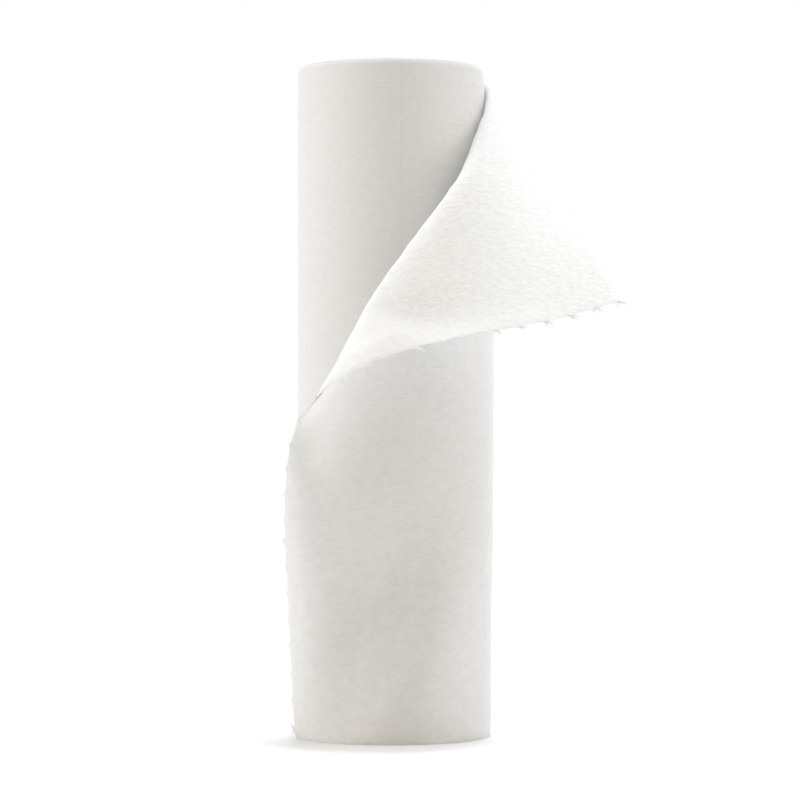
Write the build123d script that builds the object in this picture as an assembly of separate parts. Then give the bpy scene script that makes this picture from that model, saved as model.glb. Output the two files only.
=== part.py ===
from build123d import *
import os
from math import cos, degrees, radians, sin

# A kitchen roll of soft perforated sheets on a cardboard core, standing on its end.
# Millimetres and degrees. +Z is the core's axis, z = 0 is the end it stands on.
# The front is -Y. An angle round the roll is measured from the front, positive to the right.

# The roll
ROLL_HEIGHT = 280.0          # width of the web, so the height of the standing roll
CORE_BORE_RADIUS = 19.0
CORE_WALL = 1.0
CORE_CLEARANCE = 0.1         # between the core and the first turn
TURNS = 20                   # turns drawn under the loose last one, each for one and a half real ones
TURN_PITCH = 0.93            # from one drawn turn to the next
WEB_THICKNESS = 0.5
GAP_DEPTH = 4.0              # how deep the gap between the turns goes into each end
FACETS = 12                  # flats in each inner half turn

# The loose last turn
LOOSE_STAND_OFF = 2.2        # how far it stands off the wound roll on the right
FREE_EDGE_ANGLE = -68.0      # where the torn edge stands
LIFT_LENGTH = 60.0           # length of web behind the torn edge that has left the roll
LEAN = 40.0                  # how far the torn edge leans to the front, at the height below
LEAN_HEIGHT = 135.0
SIDE_BULGE = 4.0             # how far it bows out to the left on the way up

# The peeled corner
PEEL_LENGTH = 134.0          # length of top edge that has come off the roll
PEEL_EASING = 45.0           # length of top edge that curves away before it runs straight
CORNER_OUT = 92.0            # the corner of the sheet, right of the axis
CORNER_FRONT = 57.0          # in front of it
CORNER_DROP = 100.0          # and below the top of the roll
KNEE_DROP_AT_EDGE = 175.0    # how far below the top the sheet starts to fold over, at the torn edge
KNEE_DROP_AT_ROOT = 22.0     # and where the peel ends
KNEE_CURVE = 1.27            # how the knee climbs between them: 1 is a straight line
FOLD_GRIP = 0.3              # how stiffly the sheet rises before it folds, as a share of the folded run
FOLD_AIM = 0.3               # where the folded run is fullest, as a share of the way to the top edge
FOLD_BELLY = 1.42            # how far it swells to the front there, as a share of its slack
FOLD_RISE = 1.4              # and upwards

# The seam where the loose sheet grows out of the wound roll, at its back
SEAM_LENGTH = 12.0           # still web between the peel and the seam
SEAM_OVERLAP = 8.0           # how far the sheet runs into the roll
SEAM_STEP = 0.1              # and how much thinner it is there, on each side
RIB_SPACING = 5.0            # between the upright lines that the sheet is laid over

CORE_RADIUS = CORE_BORE_RADIUS + CORE_WALL
WOUND_RADIUS = CORE_RADIUS + CORE_CLEARANCE + WEB_THICKNESS + TURNS * TURN_PITCH
LOOSE_SHIFT = LOOSE_STAND_OFF / 2
BACK_RADIUS = WOUND_RADIUS - WEB_THICKNESS / 2 + LOOSE_SHIFT
FRONT_RADIUS = BACK_RADIUS + LOOSE_SHIFT
FRONT_LENGTH = FRONT_RADIUS * radians(90 - FREE_EDGE_ANGLE)
SEAM_POSITION = PEEL_LENGTH + SEAM_LENGTH
SEAM_ANGLE = degrees((SEAM_POSITION - FRONT_LENGTH) / BACK_RADIUS)
SHEET_THICKNESS = WEB_THICKNESS - 2 * SEAM_STEP


def core_tube():
    """The cardboard tube that the web is wound on."""
    profile = Rectangle(CORE_WALL, ROLL_HEIGHT, align=(Align.MIN, Align.MIN))
    return revolve(Plane.XZ * Pos(CORE_BORE_RADIUS, 0) * profile, Axis.Z)


def winding_arcs():
    """Centre, middle radius, start angle and sweep of each arc, from the seam to the core.

    Half circles about two centres, a quarter of the pitch each side of the axis, make the spiral.
    """
    arcs = [(LOOSE_SHIFT, BACK_RADIUS, SEAM_ANGLE, 180 - SEAM_ANGLE)]
    offset = TURN_PITCH / 4
    outermost = WOUND_RADIUS - WEB_THICKNESS / 2 - offset
    for half_turn in range(2 * TURNS):
        front_half = half_turn % 2 == 0
        centre = -offset if front_half else offset
        arcs.append((centre, outermost - 2 * offset * half_turn, 180 if front_half else 0, 180))
    return arcs


def web_sides(shift):
    """One side of the wound web, arc by arc: round at the outside and the core, else in facets."""
    sides = []
    arcs = winding_arcs()
    for number, (centre, radius, start, sweep) in enumerate(arcs):
        arc = CenterArc((centre, 0), radius + shift, start, sweep)
        if 3 <= number < len(arcs) - 2:
            arc = Polyline(*[arc @ (i / FACETS) for i in range(FACETS + 1)])
        sides.append(arc)
    return sides


def wound_roll():
    """The wound web, with the gap between its turns sunk into both ends of the roll."""
    outer, inner = web_sides(WEB_THICKNESS / 2), web_sides(-WEB_THICKNESS / 2)
    mouth = Line(outer[2] @ 1, inner[0] @ 1)
    outline = make_face([*outer[:3], mouth, inner[0], Line(inner[0] @ 0, outer[0] @ 0)])
    bore = make_face([*inner[-2:], Line(inner[-1] @ 1, inner[-2] @ 0)])
    gap_end = Line(inner[-3] @ 1, outer[-1] @ 1)
    gap = make_face([*inner[1:-2], *outer[3:], Line(inner[1] @ 0, outer[3] @ 0), gap_end])
    groove = extrude(gap, GAP_DEPTH)
    return extrude(outline - bore, ROLL_HEIGHT) - groove - Pos(0, 0, ROLL_HEIGHT - GAP_DEPTH) * groove


def foot(along):
    """Where the outside of the loose turn stands, a length of web away from the torn edge."""
    outside = SHEET_THICKNESS / 2
    if along < FRONT_LENGTH:
        angle = radians(FREE_EDGE_ANGLE) + along / FRONT_RADIUS
        return (FRONT_RADIUS + outside) * Vector(sin(angle), -cos(angle), 0)
    angle = (along - FRONT_LENGTH) / BACK_RADIUS
    return Vector(LOOSE_SHIFT, 0, 0) + (BACK_RADIUS + outside) * Vector(cos(angle), sin(angle), 0)


def top_edge(along):
    """The top edge: on the roll up to the peel, then easing into a straight run to the corner."""
    top = Vector(0, 0, ROLL_HEIGHT)
    on_roll = foot(along) + top
    if along >= PEEL_LENGTH:
        return on_roll
    corner = Vector(CORNER_OUT, -CORNER_FRONT, ROLL_HEIGHT - CORNER_DROP)
    straight = corner + (foot(PEEL_LENGTH) + top - corner) * (along / PEEL_LENGTH)
    ease = min(1.0, (PEEL_LENGTH - along) / PEEL_EASING)
    return on_roll + (straight - on_roll) * (ease * ease * (3 - 2 * ease))


def rib_poles(along):
    """The upright line of the sheet at one place: up from the floor to its knee, over to the top edge."""
    to_root = max(0.0, 1 - along / PEEL_LENGTH)
    run = KNEE_DROP_AT_ROOT + (KNEE_DROP_AT_EDGE - KNEE_DROP_AT_ROOT) * to_root ** KNEE_CURVE
    knee_height = ROLL_HEIGHT - run
    lifted = max(0.0, 1 - along / LIFT_LENGTH) ** 2 * knee_height / LEAN_HEIGHT
    base, tip = foot(along), top_edge(along)
    knee = base + Vector(0, -LEAN * lifted, knee_height)
    middle = (base + knee) / 2 - Vector(SIDE_BULGE * lifted, 0, 0)
    slack = max(0.0, run - (tip - knee).length)
    crown = knee + (knee - middle).normalized() * (FOLD_GRIP * run)
    belly = knee + (tip - knee) * FOLD_AIM + slack * Vector(0, -FOLD_BELLY, FOLD_RISE)
    return [base, middle, knee, crown, belly, tip]


def rib(along):
    """A slice through the sheet at one place: two curves of its outside, then two of its inside."""
    outside, before, after = rib_poles(along), rib_poles(along - 1), rib_poles(along + 1)
    inside = []
    for i, pole in enumerate(outside):
        upwards = outside[min(i + 1, 5)] - outside[max(i - 1, 0)]
        normal = (after[i] - before[i]).cross(upwards).normalized()
        inside.append(pole - SHEET_THICKNESS * normal)
    inside[0] = Vector(inside[0].X, inside[0].Y, 0)
    return [Edge.make_bezier(*side[i:j]) for side in (outside, inside) for i, j in ((0, 3), (2, 6))]


def rib_wire(curves):
    """The curves of a rib, closed at the floor and at the top edge."""
    ends = [Line(curves[0] @ 0, curves[2] @ 0), Line(curves[1] @ 1, curves[3] @ 1)]
    return Wire([*curves, *[line.edge() for line in ends]])


def loose_sheet():
    """The peeled end of the web, laid over its ribs."""
    length = SEAM_POSITION + SEAM_OVERLAP
    count = round(length / RIB_SPACING)
    ribs = [rib(length * i / count) for i in range(count + 1)]
    sides = Shell.make_loft([rib_wire(curves) for curves in ribs], ruled=True).faces()
    edges = [Face.make_surface_from_curves(c[i], c[i + 2]) for c in (ribs[0], ribs[-1]) for i in (0, 1)]
    return Solid(Shell([*sides, *edges]))


def towel_web():
    """The whole web: the wound roll and the loose peeled end, one continuous piece."""
    return wound_roll() + loose_sheet()


os.makedirs("parts", exist_ok=True)
export_step(core_tube(), "parts/core_tube.step")
export_step(towel_web(), "parts/towel_web.step")
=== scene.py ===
import bpy
import numpy as np
from math import cos, hypot, pi, radians, sin
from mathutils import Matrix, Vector


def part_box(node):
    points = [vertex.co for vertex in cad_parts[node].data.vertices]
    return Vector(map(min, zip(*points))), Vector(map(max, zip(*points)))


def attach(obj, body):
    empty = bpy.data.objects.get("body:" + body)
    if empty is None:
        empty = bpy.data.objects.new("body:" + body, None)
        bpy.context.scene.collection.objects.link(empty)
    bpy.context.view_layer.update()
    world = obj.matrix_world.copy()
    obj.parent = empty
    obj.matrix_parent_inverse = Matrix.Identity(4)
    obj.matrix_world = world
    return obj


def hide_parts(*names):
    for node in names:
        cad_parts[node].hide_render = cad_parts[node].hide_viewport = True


# A kitchen roll of soft nonwoven sheets, its last sheet peeled over at the top left corner.
# Metres, in the frame's axes: +Z up the core's axis from the floor, the front at -Y.
# "Along" is the length of web from the torn edge, "up" the height on the flat web, and an angle
# round the roll is measured from the front, positive to the right.

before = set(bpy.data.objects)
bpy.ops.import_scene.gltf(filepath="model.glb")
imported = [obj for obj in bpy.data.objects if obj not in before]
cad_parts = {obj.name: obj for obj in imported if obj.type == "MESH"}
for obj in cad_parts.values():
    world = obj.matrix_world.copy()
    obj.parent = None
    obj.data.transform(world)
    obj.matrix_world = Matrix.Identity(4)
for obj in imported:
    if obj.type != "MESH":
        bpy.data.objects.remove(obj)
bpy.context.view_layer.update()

# Sizes from the frame
core_low, core_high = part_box("core_tube")
HEIGHT = core_high[2]
CORE_RADIUS = (core_high[0] - core_low[0]) / 2

# The wound roll
WEB = 0.0005                 # thickness of the web
BARE_RADIUS = 0.0393         # outside of the roll under the loose turn
CORE_CLEARANCE = 0.0001      # between the core and the first turn
TURNS = 30
PITCH = (BARE_RADIUS - CORE_RADIUS - CORE_CLEARANCE) / (TURNS + 1)
SLICES = 180                 # of each turn
ACROSS = 4                   # steps from one valley between the turns to the next
SIDE_STEPS = 60              # up the outside and the bore
STEP_EASE = 0.2              # share of a turn in which the outside comes back to the full radius
RIM_ROUNDING = 0.0022        # of the outermost turns, at both ends
GAP_DEPTH = 0.0009           # of the groove between one turn and the next
UNEVENNESS = 0.0004          # of the turns at the ends

# The loose turn
LOOSE_RADIUS = 0.0412        # middle of the web, on the front and the right
FRONT_AT = 0.050             # along, where it passes the front
PEEL_END = 0.120             # along, where the top edge is back on the roll
TUCK_START = radians(95)     # from here it draws in
HELD_FROM = radians(150)     # from here it stays where it is wound
TUCK_ANGLE = radians(250)    # and here it lies flush as the outermost turn

# The perforation: ties of web between slits
TIE_PITCH = 0.0111
TIE_WIDTH = 0.0019
TOP_TIE_DROP = 0.0008        # how far the tie at the corner sits below it
LOWEST_TIE = 0.001           # height under which there is none
SHORT_TIES = range(13, 18)   # the ones that tore off close to the edge, counted from the top
SHORT_SHARE = 0.25           # of a tie's usual length
SCALLOP = 0.0005             # how far the edge is cut back between two ties
NEXT_TEAR = radians(5.5)     # the next perforation, on the turn beneath
FEATHERED = 0.2              # thickness left at the torn edge, as a share of the web's

# The strands that a torn tie leaves: how many, their slant towards the edge's upper end and its
# spread in radians, their lengths and widths
TIE_STRANDS = [(3, 0.95, 0.10, (0.0034, 0.0050), (0.0014, 0.0019)),
               (2, 0.10, 0.12, (0.0022, 0.0034), (0.0013, 0.0017)),
               (4, 0.45, 0.55, (0.0028, 0.0052), (0.00015, 0.00025))]

# The peel, as it is seen from the camera's place: (x, z) in the plane of the axis
SEEN_FROM = (0.0035, -1.285, 0.1343)
TIES_SEEN = [0, 2, 4, 6, 8, 10, 11, 12]
TORN_EDGE_SEEN = [(0.0955, 0.1816), (0.0749, 0.1755), (0.0543, 0.1711), (0.0312, 0.1677),
                  (0.0094, 0.1623), (-0.0126, 0.1547), (-0.0222, 0.1488), (-0.0309, 0.1425)]
FOLD_SEEN = [(-0.0360, 0.1382), (-0.0305, 0.1448), (-0.0230, 0.1574), (-0.0146, 0.1738), (-0.0059, 0.1886),
             (0.0112, 0.2122), (0.0220, 0.2261), (0.0294, 0.2368), (0.0322, 0.2443), (0.0352, 0.2524),
             (0.0386, 0.2607), (0.0398, 0.2668)]
TOP_EDGE_SEEN = [(0.0434, 0.2716), (0.0590, 0.2480), (0.0703, 0.2271), (0.0861, 0.2010), (0.0955, 0.1816)]
SIDE_SEEN = [(-0.0414, 0.002), (-0.0432, 0.040), (-0.0445, 0.065), (-0.0455, 0.084), (-0.0456, 0.095),
             (-0.0443, 0.1154), (-0.0416, 0.128), (-0.0393, 0.1343), (-0.0351, 0.1389)]

# How the loose web is relaxed: grid step and rounds, coarse to fine
ROUNDS = [(0.007, 1500), (0.0035, 400), (0.0014, 160)]
DIRECTIONS = [(1, 0, 1), (0, 1, 1), (1, 1, 0.5), (1, -1, 0.5)]    # steps along and up, and how much they count
STIFFNESS = 0.05             # against bending
CURL = 25.0                  # that the roll has set in the web, as one over its radius
MOMENTUM = 0.9               # share of its last move that a point makes again
SINKING = 4e-7               # of a free point by its weight, in one round
FLAP_FRONT = 0.077           # how far in front of the axis the fold reaches
OFF_ROLL = 0.6               # of its thickness, between the middle of the web and the wound roll
CALMING = (0.25, 0.25, 0.2, 0.15, 0.1, 0.05)    # of the torn edge and the rows next to it, in one round
TINY = 1e-9

# The share of the way to its goal that the web is moved in one round
EDGE_PULL = 0.5              # at the torn edge
TOP_EDGE_PULL = (0.32, 0.18)    # at the top edge, sideways and in height
FOLD_PULL = 0.2
FOOT_PULL = 0.3              # at the edge on the floor
FRONT_PULL = 0.1             # where the flap reaches too far to the front
APART_PULL = 0.3             # where the flap and the part beneath it would cross

# The crease of the first guess: where it starts on the torn edge, its slope, and where the corner goes
CREASE_FROM = 0.135
CREASE_SLOPE = 1.2
CORNER_AT = (0.0924, -0.033, 0.180)

# The look of the web
# The wound roll is the same web as the loose sheet, but it is given a darker colour than the loose sheet:
# painted shade.
WOUND_SHADED_WHITENESS, LOOSE_WHITENESS, TORN_WHITENESS = 0.70, 0.945, 0.96
LOOSE_SEE_THROUGH, TORN_SEE_THROUGH = 0.34, 0.3
WARMTH = (1, 0.992, 0.975)
THIN, THICK = 0.955, 1.005   # whiteness between the clouds and in them
CLOUDS, CREPE, FIBRES = 260, 330, 1500    # how many there are in a metre
CREPE_HEIGHT = 0.8
OTHER_SIDE_FROM = (0.122, 0.134)    # height on the torn edge where one side's look, and the painted shade of the part that isn't peeled, give way to the other's
OTHER_SIDE_SLOPE = 1.1       # of that line
UNPEELED_PAINTED_SHADE = 0.07         # how much darker the part that isn't peeled is painted: painted shade that sets the layer beneath the flap off from it
# The slits: a colour of painted shade in the cuts and the share of it that is mixed in, and their depth in the
# bump
SLIT_SHADE_COLOUR, SLIT_SHADE_SHARE, SLIT_DEPTH = (0.62, 0.59, 0.54, 1), 0.06, 0.35
SLIT_EDGES = (0.0001, 0.0004)    # half its width, at full depth and where it ends

# The look of the core
BOARD_COLOURS = ((0.42, 0.34, 0.25, 1), (0.56, 0.47, 0.36, 1))
BOARD_FLECKS = (0.33, 0.26, 0.19, 1)
BOARD_SEAM = (0.24, 0.19, 0.13, 1)
PLY_PITCH = 0.075            # height in which the seam goes once round

# Light and camera
AMBIENT = ((1.0, 0.915, 0.72, 1), 0.62)    # colour and strength
# Name, place, size, power and colour
LIGHTS = [("left softbox", (-1.3, -0.10, 0.25), (0.7, 1.2), 12.2, (0.92, 0.92, 1)),
          ("right softbox", (1.3, 0.05, 0.25), (0.7, 1.2), 8.2, (0.92, 0.90, 1)),
          ("top softbox", (0.1, -0.15, 1.4), (0.9, 0.9), 12, (0.73, 0.82, 1)),
          ("lit background", (0.3, 1.4, 0.5), (1.2, 1.0), 33, (0.72, 0.84, 1))]
FLOOR_COLOUR = (0.82, 0.82, 0.82, 1)
FLOOR_GLOW = (0.0, 0.9)      # by the roll and away from it
GLOW_FROM = (0.062, 0.15)    # distances from the axis at which it has those strengths
SENSOR, LENS = 36, 137.7     # millimetres
SHIFT = 15 / 800             # of the picture, upwards

RNG = np.random.default_rng(7)


def eased(share):
    """The same share, with a slow start and a slow end."""
    return share * share * (3 - 2 * share)


def loose_radius(angle):
    """Radius of the middle of the loose turn."""
    share = eased(np.clip((angle - TUCK_START) / (TUCK_ANGLE - TUCK_START), 0, 1))
    return LOOSE_RADIUS + (BARE_RADIUS - WEB / 2 - LOOSE_RADIUS) * share


# Angles on the loose turn and the lengths of web that go with them, from left of the torn edge to the tuck
ANGLES = np.linspace(-radians(110), TUCK_ANGLE, 2000)
ALONGS = np.concatenate([[0], np.cumsum(np.diff(ANGLES) * loose_radius((ANGLES[1:] + ANGLES[:-1]) / 2))])
ALONGS += FRONT_AT - np.interp(0, ANGLES, ALONGS)
TUCK_ALONG = ALONGS[-1]


def on_roll(along):
    """(x, y) on the loose turn, a length of web from the torn edge."""
    angle = np.interp(along, ALONGS, ANGLES)
    radius = loose_radius(angle)
    return radius * np.sin(angle), -radius * np.cos(angle)


def seen(points):
    """x and z in the plane of the axis where points are seen, and the scale from there to their own depth."""
    scale = (SEEN_FROM[1] - points[..., 1]) / SEEN_FROM[1]
    x = SEEN_FROM[0] + (points[..., 0] - SEEN_FROM[0]) / scale
    z = SEEN_FROM[2] + (points[..., 2] - SEEN_FROM[2]) / scale
    return x, z, scale


def at_depth(goal, axis, scale):
    """Takes a seen x (axis 0) or z (axis 2) to the depth of the point that should be seen there."""
    return SEEN_FROM[axis] + (goal - SEEN_FROM[axis]) * scale


def unit(vectors):
    """The same directions at length 1."""
    return vectors / np.maximum(np.linalg.norm(vectors, axis=-1), TINY)[..., None]


class Sheet:
    """The loose web as a grid of points, pulled to its flat size in every direction."""

    def __init__(self, step):
        self.along = np.linspace(0, TUCK_ALONG, round(TUCK_ALONG / step) + 1)
        self.up = np.linspace(0, HEIGHT, round(HEIGHT / step) + 1)
        self.step = (self.along[1], self.up[1])
        held = self.along > np.interp(HELD_FROM, ANGLES, ALONGS)
        self.held = np.repeat(held[:, None], len(self.up), 1)
        self.free = np.where(self.held, 0.0, 1.0)
        x, y = on_roll(self.along)
        self.wrapped = np.stack(np.broadcast_arrays(x[:, None], y[:, None], self.up[None, :]), -1)
        self.points = self.wrapped.copy()

    def fold_over(self):
        """A first guess: the corner above a slanting crease goes forward to where it is seen."""
        bulge, off_roll, swell = 1.05, 0.003, 0.010
        along, up = np.meshgrid(self.along, self.up, indexing="ij")
        share = (up - CREASE_FROM - CREASE_SLOPE * along) / (HEIGHT - CREASE_FROM)
        over = (share > 0) & ~self.held
        share = np.clip(share, 0, 0.999)
        x, y = on_roll(along / (1 - share))
        z = np.minimum((up - share * HEIGHT) / (1 - share), HEIGHT)
        crease = np.stack([bulge * x, bulge * y - off_roll, z], -1)
        folded = (1 - share[..., None]) * crease + share[..., None] * np.array(CORNER_AT)
        folded[..., 1] -= swell * np.minimum(1, 4 * share)
        self.points[over] = folded[over]

    def take_shape(self, coarse):
        """Lays the sheet as a coarser one lies."""
        lines = [[np.interp(self.up, coarse.up, line[:, k]) for k in range(3)] for line in coarse.points]
        lines = np.array(lines)
        shape = [[np.interp(self.along, coarse.along, lines[:, k, j]) for j in range(len(self.up))]
                 for k in range(3)]
        self.points = np.where(self.held[..., None], self.wrapped, np.array(shape).T)

    def pull(self, di, dj, stiffness):
        """Brings each pair of points, di and dj steps apart, towards their distance on the flat web."""
        rest = hypot(di * self.step[0], dj * self.step[1])
        n, m = self.free.shape
        i, j = np.arange(n - di), np.arange(max(0, -dj), m - max(0, dj))
        for phase in range(2):
            rows = i[(i // di) % 2 == phase] if di else i
            columns = j if di else j[(j // dj) % 2 == phase]
            a, b = np.ix_(rows, columns), np.ix_(rows + di, columns + dj)
            gap = self.points[b] - self.points[a]
            length = np.maximum(np.linalg.norm(gap, axis=-1), TINY)
            share = stiffness * (1 - rest / length) / np.maximum(self.free[a] + self.free[b], TINY)
            self.points[a] += (self.free[a] * share)[..., None] * gap
            self.points[b] -= (self.free[b] * share)[..., None] * gap

    def bend(self, di, dj, stiffness, curl=0.0):
        """Draws each point between its neighbours di, dj steps away, or outside them by the web's curl."""
        p, (n, m) = self.points, self.free.shape
        i, j = np.arange(di, n - di), np.arange(abs(dj), m - abs(dj))
        here, before, after = np.ix_(i, j), np.ix_(i - di, j - dj), np.ix_(i + di, j + dj)
        miss = (p[before] + p[after]) / 2 - p[here]
        if curl:
            out = unit(np.cross(p[after] - p[before], self.rise[here]))
            miss += out * (curl * (di * self.step[0]) ** 2 / 2)
        miss *= stiffness
        p[here] += miss * self.free[here][..., None]
        p[before] -= miss / 2 * self.free[before][..., None]
        p[after] -= miss / 2 * self.free[after][..., None]

    def guide(self):
        """Draws the torn edge, its lower end and the top edge to where they are seen from the front.

        The edge on the floor stays by the roll, and the fold doesn't reach further out than it should.
        """
        p = self.points
        x, z, scale = seen(p[0])
        ties = HEIGHT - np.array(TIES_SEEN[::-1]) * TIE_PITCH
        torn, side, top = np.array(TORN_EDGE_SEEN[::-1]), np.array(SIDE_SEEN), np.array(TOP_EDGE_SEEN)
        folded = self.up >= ties[0]
        for axis, k in ((0, 0), (2, 1)):
            goal = at_depth(np.interp(self.up, ties, torn[:, k]), axis, scale)
            p[0, folded, axis] += EDGE_PULL * (goal - p[0, :, axis])[folded]
        low = (z < side[-1, 1]) & ~folded
        goal = at_depth(np.interp(z, side[:, 1], side[:, 0]), 0, scale)
        p[0, low, 0] += EDGE_PULL * (goal - p[0, :, 0])[low]
        self.guide_fold()
        x, z, scale = seen(p[:, -1])
        free = (x > top[0, 0]) & (self.along < PEEL_END)
        miss = (np.interp(-z, -top[:, 1], top[:, 0]) - x)[free]
        p[free, -1, 0] += TOP_EDGE_PULL[0] * miss
        p[free, -1, 2] += TOP_EDGE_PULL[1] * miss
        p[:, 0, :2] += FOOT_PULL * (self.wrapped[:, 0, :2] - p[:, 0, :2])
        p[..., 1] -= FRONT_PULL * np.minimum(p[..., 1] + FLAP_FRONT, 0)

    def guide_fold(self):
        """Draws the outermost point of the fold, at every height, to where the fold is seen."""
        p = self.points
        furthest_back, out_of_view = 0.005, 1.0
        x, z, _ = seen(p)
        x = np.where(p[..., 1] < furthest_back, x, out_of_view)
        fold = np.array(FOLD_SEEN)
        for height in np.linspace(fold[0, 1], fold[-1, 1], 40):
            at_height = np.where(np.abs(z - height) < self.step[1], x, out_of_view)
            i, j = np.unravel_index(np.argmin(at_height), x.shape)
            miss = np.interp(height, fold[:, 1], fold[:, 0]) - x[i, j]
            p[max(i - 1, 0):i + 2, max(j - 1, 0):j + 2, 0] += FOLD_PULL * miss

    def keep_apart(self, cell=0.003, gap=0.001, count=100, left=0.07):
        """Keeps the folded part in front of the one beneath it, cell by cell of the view from the front."""
        p = self.points
        out = unit(np.cross(np.gradient(p, axis=0), self.rise))
        before_roll, facing = p[..., 1] < -0.02, 0.4
        folded, beneath = before_roll & (out[..., 1] > facing), before_roll & (out[..., 1] < -facing)
        cells = np.clip(((p[..., ::2] + (left, 0)) / cell).astype(int), 0, count - 1)
        column, row = cells[..., 0], cells[..., 1]
        foremost, rearmost = np.full((count, count), 1.0), np.full((count, count), -1.0)
        np.minimum.at(foremost, (column[beneath], row[beneath]), p[beneath, 1])
        np.maximum.at(rearmost, (column[folded], row[folded]), p[folded, 1])
        behind = p[folded, 1] + gap - foremost[column[folded], row[folded]]
        before = rearmost[column[beneath], row[beneath]] + gap - p[beneath, 1]
        p[folded, 1] -= APART_PULL * np.maximum(behind, 0)
        p[beneath, 1] += APART_PULL * np.maximum(before, 0)

    def relax(self, rounds):
        """Lets the sheet find its shape, held to its lengths, its guides, the roll and the floor."""
        near = BARE_RADIUS + WEB * OFF_ROLL
        speed = np.zeros_like(self.points)
        for turn in range(rounds):
            before = self.points.copy()
            self.points += MOMENTUM * speed * self.free[..., None]
            self.points[..., 2] -= SINKING * self.free
            for di, dj, weight in DIRECTIONS:
                self.pull(di, dj, weight)
            self.rise = np.gradient(self.points, axis=1)
            for di, dj, weight in DIRECTIONS:
                self.bend(di, dj, weight * STIFFNESS, 0 if dj else CURL)
            if turn % 3 == 0:
                self.bend(2, 0, STIFFNESS / 2, CURL)
                self.bend(0, 2, STIFFNESS / 2)
            self.guide()
            self.keep_apart()
            self.points[:, 0, 2] *= 1 - FOOT_PULL
            r = np.hypot(self.points[..., 0], self.points[..., 1])
            inside = (r < near) & ~self.held
            self.points[..., :2] *= np.where(inside, near / np.maximum(r, TINY), 1.0)[..., None]
            self.points[..., 2] = np.clip(self.points[..., 2], 0, HEIGHT)
            self.points[self.held] = self.wrapped[self.held]
            speed = self.points - before

    def calm_edge(self, rounds=16, strip=0.006, blend=0.01):
        """Takes the crumples out of the torn edge and the rows next to it, and lets them run on flat."""
        p = self.points
        for _ in range(rounds):
            for row, share in enumerate(CALMING):
                p[row, 1:-1] += share * (p[row, 2:] + p[row, :-2] - 2 * p[row, 1:-1])
        last = max(2, round(strip / self.step[0]))
        run = (p[last] - p[2 * last]) / last
        folded = np.clip((self.up - self.up[-1] + TIE_PITCH * TIES_SEEN[-1]) / blend, 0, 1)
        for row in range(last):
            p[row, :, 1] += 0.8 * folded * (p[last, :, 1] + run[:, 1] * (last - row) - p[row, :, 1])

    def at_edge(self, up):
        """Point on the torn edge, with the directions off the sheet, up the edge and out of the paper."""
        j = np.interp(up, self.up, np.arange(len(self.up)))
        low = int(min(j, len(self.up) - 2))
        share = j - low
        place = self.points[0, low] * (1 - share) + self.points[0, low + 1] * share
        off = unit(self.points[0, low] - self.points[3, low])
        rise = unit(self.points[0, min(low + 2, len(self.up) - 1)] - self.points[0, max(low - 2, 0)])
        return place, off, rise, np.cross(off, rise)


def relaxed_sheet():
    """Relaxes a coarse sheet first, then finer ones that take its shape."""
    steps = ROUNDS
    sheet = None
    for step, rounds in steps:
        finer = Sheet(step)
        if sheet:
            finer.take_shape(sheet)
        else:
            finer.fold_over()
        sheet = finer
        sheet.relax(rounds)
    sheet.calm_edge()
    return sheet


def mesh_object(name, vertices, faces, web_place=None, smooth=True):
    """A mesh; web_place gives each vertex its place on the flat web, in metres, for the materials."""
    mesh = bpy.data.meshes.new(name)
    mesh.from_pydata(np.asarray(vertices, float).tolist(), [], [list(map(int, f)) for f in faces])
    if web_place is not None:
        corners = np.zeros(len(mesh.loops), dtype=int)
        mesh.loops.foreach_get("vertex_index", corners)
        layer = mesh.uv_layers.new(name="web")
        layer.data.foreach_set("uv", np.asarray(web_place, float)[corners].ravel())
    mesh.update()
    if smooth:
        mesh.shade_smooth()
    obj = bpy.data.objects.new(name, mesh)
    bpy.context.scene.collection.objects.link(obj)
    return obj


def grid_faces(n, m):
    """The squares of a grid of n by m points."""
    first = (np.arange(n - 1)[:, None] * m + np.arange(m - 1)[None, :]).ravel()
    return np.stack([first, first + m, first + m + 1, first + 1], -1)


def finish_web(obj, material):
    """Dresses a piece that shows in place of the web's solid."""
    obj.data.materials.append(material)
    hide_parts("towel_web")
    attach(obj, "root")
    return obj


class Nodes:
    """Short calls for building a material."""

    def __init__(self, name):
        self.material = bpy.data.materials.new(name)
        self.material.use_nodes = True
        self.tree = self.material.node_tree
        self.shader = self.tree.nodes["Principled BSDF"]
        self.output = self.tree.nodes["Material Output"]

    def add(self, kind, inputs=None, **settings):
        node = self.tree.nodes.new(kind)
        for key, value in settings.items():
            setattr(node, key, value)
        for key, value in (inputs or {}).items():
            self.set(node.inputs[key], value)
        return node

    def set(self, socket, value):
        if isinstance(value, bpy.types.NodeSocket):
            self.tree.links.new(value, socket)
        else:
            socket.default_value = value

    def math(self, operation, a, b=0.0):
        node = self.add("ShaderNodeMath", {0: a, 1: b}, operation=operation)
        return node.outputs[0]

    def noise(self, place, scale, detail=3.0, stretch=(1, 1, 1), rough=0.5):
        mapping = self.add("ShaderNodeMapping", {"Vector": place, "Scale": stretch})
        node = self.add("ShaderNodeTexNoise", {"Vector": mapping.outputs[0], "Scale": scale,
                                               "Detail": detail, "Roughness": rough})
        return node.outputs["Fac"]

    def ramp(self, value, low, high, to_low=0.0, to_high=1.0):
        node = self.add("ShaderNodeMapRange", {0: value, 1: low, 2: high, 3: to_low, 4: to_high})
        return node.outputs[0]

    def mix(self, share, a, b):
        node = self.add("ShaderNodeMix", {0: share, 6: a, 7: b}, data_type="RGBA")
        return node.outputs[2]

    def surface(self, colour, bump, roughness, specular):
        """What every material here sets on its main shader."""
        self.set(self.shader.inputs["Base Color"], colour)
        self.set(self.shader.inputs["Roughness"], roughness)
        self.set(self.shader.inputs["Specular IOR Level"], specular)
        if bump:
            self.set(self.shader.inputs["Normal"], bump.outputs[0])


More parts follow.
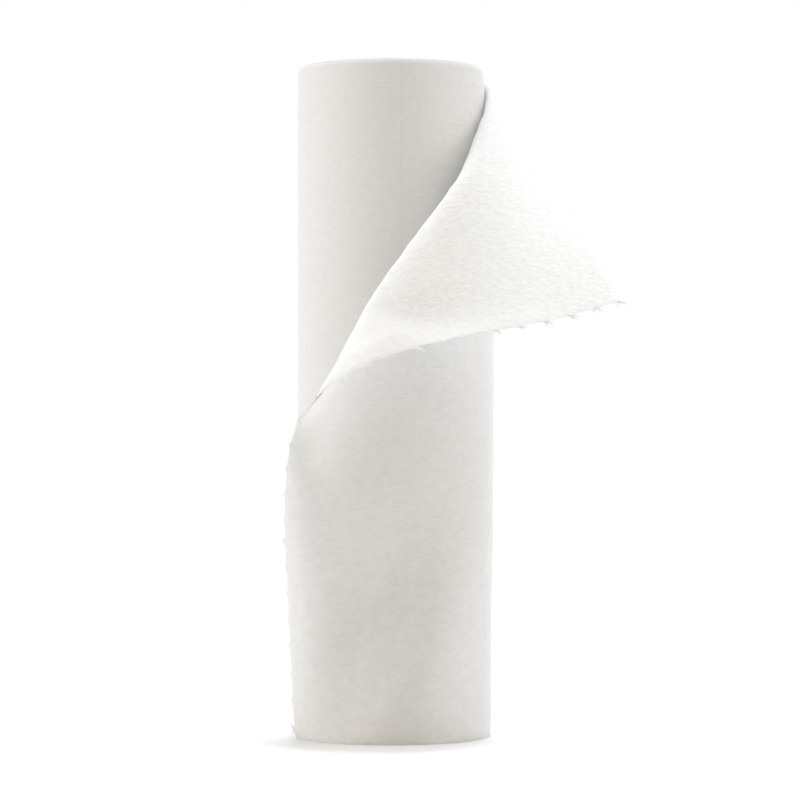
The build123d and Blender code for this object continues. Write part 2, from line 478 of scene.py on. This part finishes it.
def web_material(name, whiteness, see_through=0.0, slit_line=None):
    """Soft white nonwoven: cloudy where fibres gather, with a fine crepe lying along the web.

    The peeled corner of the loose web shows its other side, fluffier and with its crepe along the torn edge;
    the rest of the loose web is painted darker than the corner, as painted shade beneath the flap.
    """
    n = Nodes(name)
    place = n.add("ShaderNodeUVMap", uv_map="web").outputs[0]
    clouds = n.noise(place, CLOUDS, 4.0, rough=0.6)
    crepe = n.noise(place, CREPE, stretch=(1, 3.2, 1))
    crepe_height = CREPE_HEIGHT
    if see_through:
        xy = n.add("ShaderNodeSeparateXYZ", {0: place})
        line = n.math("MULTIPLY", xy.outputs[0], OTHER_SIDE_SLOPE)
        peeled = n.ramp(n.math("SUBTRACT", xy.outputs[1], line), *OTHER_SIDE_FROM)
        turned = n.noise(place, CREPE, stretch=(2.4, 1, 1))
        crepe = n.math("ADD", crepe, n.math("MULTIPLY", n.math("SUBTRACT", turned, crepe), peeled))
        crepe_height = n.ramp(peeled, 0, 1, CREPE_HEIGHT, 2 * CREPE_HEIGHT)
    fibres = n.noise(place, FIBRES, 2.0, stretch=(1, 1.8, 1))
    thin, thick = [(*[whiteness * k * share for share in WARMTH], 1) for k in (THIN, THICK)]
    gathered = n.math("ADD", n.math("MULTIPLY", clouds, 0.45), n.math("MULTIPLY", crepe, 0.55))
    colour = n.mix(n.ramp(gathered, 0.38, 0.60), thin, thick)
    if see_through:
        # Painted shade: everything of this material that isn't on the peeled corner is painted darker
        colour = n.mix(n.ramp(peeled, 0, 1, UNPEELED_PAINTED_SHADE, 0), colour, (0, 0, 0, 1))
    height = n.math("ADD", n.math("MULTIPLY", crepe, crepe_height), n.math("MULTIPLY", fibres, 0.2))
    if slit_line is not None:
        colour, height = slits(n, place, slit_line, colour, height)
    bump = n.add("ShaderNodeBump", {"Height": height, "Strength": 0.8, "Distance": 0.0004})
    n.surface(colour, bump, 0.92, 0.15)
    n.set(n.shader.inputs["Sheen Weight"], 0.15)
    n.set(n.shader.inputs["Sheen Roughness"], 0.6)
    if see_through:
        through = n.add("ShaderNodeBsdfTranslucent", {"Color": colour, "Normal": bump.outputs[0]})
        thinness = n.math("MULTIPLY", n.ramp(clouds, 0.25, 0.75, see_through + 0.07, see_through - 0.07),
                          n.ramp(peeled, 0, 1, 0.75, 1))
        mixed = n.add("ShaderNodeMixShader", {0: thinness, 1: n.shader.outputs[0], 2: through.outputs[0]})
        n.set(n.output.inputs[0], mixed.outputs[0])
    return n.material


def slits(n, place, along, colour, height):
    """The next perforation: a line of slits with a tie between each two, the slits painted darker as painted
    shade in the cuts and lowered in the bump.
    """
    xy = n.add("ShaderNodeSeparateXYZ", {0: place})
    wander = n.math("MULTIPLY", n.math("SUBTRACT", n.noise(place, 60, 2.0), 0.5), 0.0008)
    off_line = n.math("ABSOLUTE", n.math("SUBTRACT", n.math("ADD", xy.outputs[0], wander), along))
    in_turn = n.math("FRACT", n.math("DIVIDE", xy.outputs[1], TIE_PITCH))
    half_slit = 0.5 - 0.5 * TIE_WIDTH / TIE_PITCH
    in_slit = n.math("LESS_THAN", n.math("ABSOLUTE", n.math("SUBTRACT", in_turn, 0.5)), half_slit)
    depth = n.math("MULTIPLY", n.ramp(off_line, *SLIT_EDGES, 1, 0), in_slit)
    # painted shade in the slits
    colour = n.mix(n.math("MULTIPLY", depth, SLIT_SHADE_SHARE), colour, SLIT_SHADE_COLOUR)
    return colour, n.math("SUBTRACT", height, n.math("MULTIPLY", depth, SLIT_DEPTH))


def board_material():
    """Grey-brown cardboard, its plies wound in a slow spiral."""
    n = Nodes("core board")
    place = n.add("ShaderNodeTexCoord").outputs["Object"]
    fibres = n.noise(place, 900, 4.0, stretch=(1, 1, 0.5), rough=0.65)
    flecks = n.noise(place, 260, 2.0)
    colour = n.mix(n.ramp(fibres, 0.3, 0.7), *BOARD_COLOURS)
    colour = n.mix(n.ramp(flecks, 0.62, 0.75, 0, 0.5), colour, BOARD_FLECKS)
    xyz = n.add("ShaderNodeSeparateXYZ", {0: place})
    angle = n.math("DIVIDE", n.math("ARCTAN2", xyz.outputs[1], xyz.outputs[0]), 2 * pi)
    ply = n.math("FRACT", n.math("ADD", angle, n.math("DIVIDE", xyz.outputs[2], PLY_PITCH)))
    seam = n.ramp(n.math("ABSOLUTE", n.math("SUBTRACT", ply, 0.5)), 0.004, 0.012, 1, 0)
    colour = n.mix(n.math("MULTIPLY", seam, 0.6), colour, BOARD_SEAM)
    relief = n.math("SUBTRACT", fibres, seam)
    bump = n.add("ShaderNodeBump", {"Height": relief, "Strength": 0.4, "Distance": 0.0002})
    n.surface(colour, bump, 0.85, 0.25)
    return n.material


def build_sheet(sheet):
    """The loose web; its torn edge thins out, and is cut back in a shallow arch between two ties."""
    along, up = np.meshgrid(sheet.along, sheet.up, indexing="ij")
    points = sheet.points.copy()
    in_turn = (HEIGHT - sheet.up) / TIE_PITCH % 1
    cut_back = SCALLOP * np.clip(np.sin(pi * in_turn), 0, 1) ** 0.6
    inwards = points[1] - points[0]
    points[0] += inwards * (cut_back / np.linalg.norm(inwards, axis=-1))[:, None]
    along[0] += cut_back
    place = np.stack([along.ravel(), up.ravel()], -1)
    obj = mesh_object("loose_sheet", points.reshape(-1, 3), grid_faces(*sheet.free.shape), place)
    feathered = obj.vertex_groups.new(name="thickness")
    feathered.add(list(range(along.size)), 1.0, "REPLACE")
    feathered.add(list(range(len(sheet.up))), FEATHERED, "REPLACE")
    thick = obj.modifiers.new("thickness", "SOLIDIFY")
    thick.thickness = WEB
    thick.offset = 0
    thick.vertex_group = feathered.name
    by_area = obj.modifiers.new("rim shading", "WEIGHTED_NORMAL")
    by_area.weight = 90
    return finish_web(obj, web_material("loose web", LOOSE_WHITENESS, see_through=LOOSE_SEE_THROUGH))


def strand(start, way, side, lift, length, width, vertices, faces):
    """One torn fibre bundle: a flat spike that bends as it goes."""
    bend, taper, flatness = 0.35, 0.75, 0.3
    first = len(vertices)
    across = np.cross(way, side)
    for share in (0, 0.35, 0.7):
        middle = start + way * length * share
        middle = middle + side * length * bend * share * share + lift * length * share * share
        half = width / 2 * (1 - taper * share)
        for k in range(3):
            turn = 2 * pi * k / 3
            vertices.append(middle + half * (cos(turn) * side + sin(turn) * across * flatness))
    vertices.append(start + way * length + side * length * bend + lift * length)
    for ring in range(2):
        for k in range(3):
            a, b = first + ring * 3 + k, first + ring * 3 + (k + 1) % 3
            faces.append((a, b, b + 3, a + 3))
    for k in range(3):
        faces.append((first + 6 + k, first + 6 + (k + 1) % 3, first + 9))


def build_ties(sheet):
    """What is left of the ties on the torn edge, one every tie pitch.

    Each has prongs pulled up towards the edge's upper end, shorter ones straight off the edge, and
    a few wisps.
    """
    rooted = 0.0006
    vertices, faces = [], []
    for number in range(round(HEIGHT / TIE_PITCH) + 1):
        middle = HEIGHT - number * TIE_PITCH - (TOP_TIE_DROP if number == 0 else 0)
        if middle < LOWEST_TIE:
            continue
        strength = RNG.uniform(0.8, 1.2) * (SHORT_SHARE if number in SHORT_TIES else 1)
        for many, slant, spread, lengths, widths in TIE_STRANDS:
            for _ in range(many):
                shift = RNG.uniform(-0.5, 0.5) * TIE_WIDTH
                place, off, rise, out = sheet.at_edge(min(max(middle + shift, 0), HEIGHT))
                turn = slant + RNG.normal(0, spread)
                way = unit(cos(turn) * off + sin(turn) * rise + RNG.normal(0, 0.06) * out)
                side = unit(rise - way * (rise @ way)) * RNG.choice([-1, 1]) * 0.6
                length = RNG.uniform(*lengths) * strength * (1.15 - 0.8 * abs(shift) / TIE_WIDTH)
                lift = out * RNG.normal(0.05, 0.08)
                strand(place - off * rooted, way, side, lift, length, RNG.uniform(*widths), vertices, faces)
    obj = mesh_object("torn_ties", vertices, faces, smooth=False)
    return finish_web(obj, web_material("torn fibres", TORN_WHITENESS, see_through=TORN_SEE_THROUGH))


def spiral_rows(lap, uneven):
    """Radius, depth below the end and depth into the roll, from one valley to the next."""
    turn = lap % 1
    outermost = PITCH * turn * (1 - eased(np.clip((turn - (1 - STEP_EASE)) / STEP_EASE, 0, 1)))
    own, next_turn = uneven[:len(lap)], uneven[SLICES:SLICES + len(lap)]
    for k in range(ACROSS + 1):
        share = k / ACROSS
        inward = (lap + share) * PITCH
        left = np.clip(RIM_ROUNDING - (inward - outermost), 0, RIM_ROUNDING)
        rounding = RIM_ROUNDING - np.sqrt(RIM_ROUNDING ** 2 - left ** 2)
        groove = GAP_DEPTH * abs(cos(pi * share)) ** 3 * np.clip(inward / (2 * PITCH), 0, 1)
        wander = (own * (1 - share) + next_turn * share) * np.clip(inward / PITCH - 1, 0, 1)
        yield BARE_RADIUS - inward, rounding + groove + wander, inward


def build_roll():
    """The wound web: one spiral from the tuck of the loose sheet to the core, open at both ends."""
    lap = np.arange(TURNS * SLICES + 1) / SLICES
    angle = TUCK_ANGLE + 2 * pi * lap
    wander = np.convolve(np.cumsum(RNG.normal(0, 1, len(lap) + SLICES)), np.hanning(SLICES // 3), "same")
    wander -= np.convolve(wander, np.ones(3 * SLICES) / (3 * SLICES), "same")
    uneven = UNEVENNESS * (0.5 + 0.5 * np.clip(wander / (2 * wander.std()), -1, 1))
    along = TUCK_ALONG + BARE_RADIUS * (angle - TUCK_ANGLE)
    rows = list(spiral_rows(lap, uneven))
    vertices, place, faces = [], [], []

    def ring(radius, z, angle=angle):
        return np.stack(np.broadcast_arrays(radius * np.sin(angle), -radius * np.cos(angle), z), -1)

    def add(points, web_place, flipped):
        quads = grid_faces(*points.shape[:2]) + sum(len(v) for v in vertices)
        faces.append(quads[:, ::-1] if flipped else quads)
        vertices.append(points.reshape(-1, 3))
        place.append(web_place.reshape(-1, 2))

    for top in (True, False):
        points = np.array([ring(radius, HEIGHT - sink if top else sink) for radius, sink, _ in rows])
        web_place = [np.stack([along, HEIGHT + inward if top else -inward], -1) for _, _, inward in rows]
        add(points, np.array(web_place), not top)
    outside, bore = slice(0, SLICES + 1), slice(len(lap) - SLICES - 1, len(lap))
    for part, (radius, sink, _), outwards in ((outside, rows[0], True), (bore, rows[-1], False)):
        share = np.linspace(0, 1, SIDE_STEPS + 1)[:, None]
        z = sink[part] + (HEIGHT - 2 * sink[part]) * share
        web_place = np.stack(np.broadcast_arrays(along[part], z), -1)
        add(ring(radius[part], z, angle[part]), web_place, outwards)
    next_tear = TUCK_ALONG + BARE_RADIUS * (NEXT_TEAR + 2 * pi - TUCK_ANGLE)
    obj = mesh_object("wound_roll", np.concatenate(vertices), np.concatenate(faces), np.concatenate(place))
    # painted shade: the wound web is coloured darker than the same web in the loose sheet
    return finish_web(obj, web_material("wound web", WOUND_SHADED_WHITENESS, slit_line=next_tear))


def build_floor():
    """A white floor with a soft shadow; to the camera it is as white as the background away from the roll."""
    obj = mesh_object("floor", [(-4, -4, 0), (4, -4, 0), (4, 6, 0), (-4, 6, 0)], [(0, 1, 2, 3)])
    n = Nodes("floor")
    n.surface(FLOOR_COLOUR, None, 1.0, 0.0)
    place = n.add("ShaderNodeTexCoord").outputs["Object"]
    from_roll = n.add("ShaderNodeVectorMath", {0: place}, operation="LENGTH").outputs["Value"]
    strength = n.ramp(from_roll, *GLOW_FROM, *FLOOR_GLOW)
    glow = n.add("ShaderNodeEmission", {"Color": (1, 1, 1, 1), "Strength": strength})
    both = n.add("ShaderNodeAddShader", {0: n.shader.outputs[0], 1: glow.outputs[0]})
    ray = n.add("ShaderNodeLightPath").outputs["Is Camera Ray"]
    shown = n.add("ShaderNodeMixShader", {0: ray, 1: n.shader.outputs[0], 2: both.outputs[0]})
    n.set(n.output.inputs[0], shown.outputs[0])
    obj.data.materials.append(n.material)


def build_world():
    """Soft light from all round; the camera sees a white background instead."""
    world = bpy.data.worlds.new("studio")
    world.use_nodes = True
    tree = world.node_tree
    studio = tree.nodes["Background"]
    studio.inputs[0].default_value, studio.inputs[1].default_value = AMBIENT
    white = tree.nodes.new("ShaderNodeBackground")
    white.inputs[0].default_value = (1, 1, 1, 1)
    ray = tree.nodes.new("ShaderNodeLightPath")
    mix = tree.nodes.new("ShaderNodeMixShader")
    tree.links.new(ray.outputs["Is Camera Ray"], mix.inputs[0])
    tree.links.new(studio.outputs[0], mix.inputs[1])
    tree.links.new(white.outputs[0], mix.inputs[2])
    tree.links.new(mix.outputs[0], tree.nodes["World Output"].inputs[0])
    bpy.context.scene.world = world


def build_light(name, place, size, power, colour):
    """A softbox aimed at the middle of the roll."""
    data = bpy.data.lights.new(name, "AREA")
    data.shape = "RECTANGLE"
    data.size, data.size_y = size
    data.energy = power
    data.color = colour
    obj = bpy.data.objects.new(name, data)
    obj.location = place
    direction = Vector((0, 0, HEIGHT / 2)) - Vector(place)
    obj.rotation_euler = direction.to_track_quat("-Z", "Y").to_euler()
    bpy.context.scene.collection.objects.link(obj)


def build_camera():
    data = bpy.data.cameras.new("camera")
    data.sensor_width = SENSOR
    data.lens = LENS
    data.shift_y = SHIFT
    camera = bpy.data.objects.new("camera", data)
    camera.location = SEEN_FROM
    camera.rotation_euler = (pi / 2, 0, 0)
    bpy.context.scene.collection.objects.link(camera)
    bpy.context.scene.camera = camera


build_roll()
sheet = relaxed_sheet()
loose = build_sheet(sheet)
ties = build_ties(sheet)

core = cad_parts["core_tube"]
core.data.materials.clear()
core.data.materials.append(board_material())

build_floor()
build_world()
for light in LIGHTS:
    build_light(*light)
build_camera()
bpy.context.scene.view_settings.view_transform = "Standard"
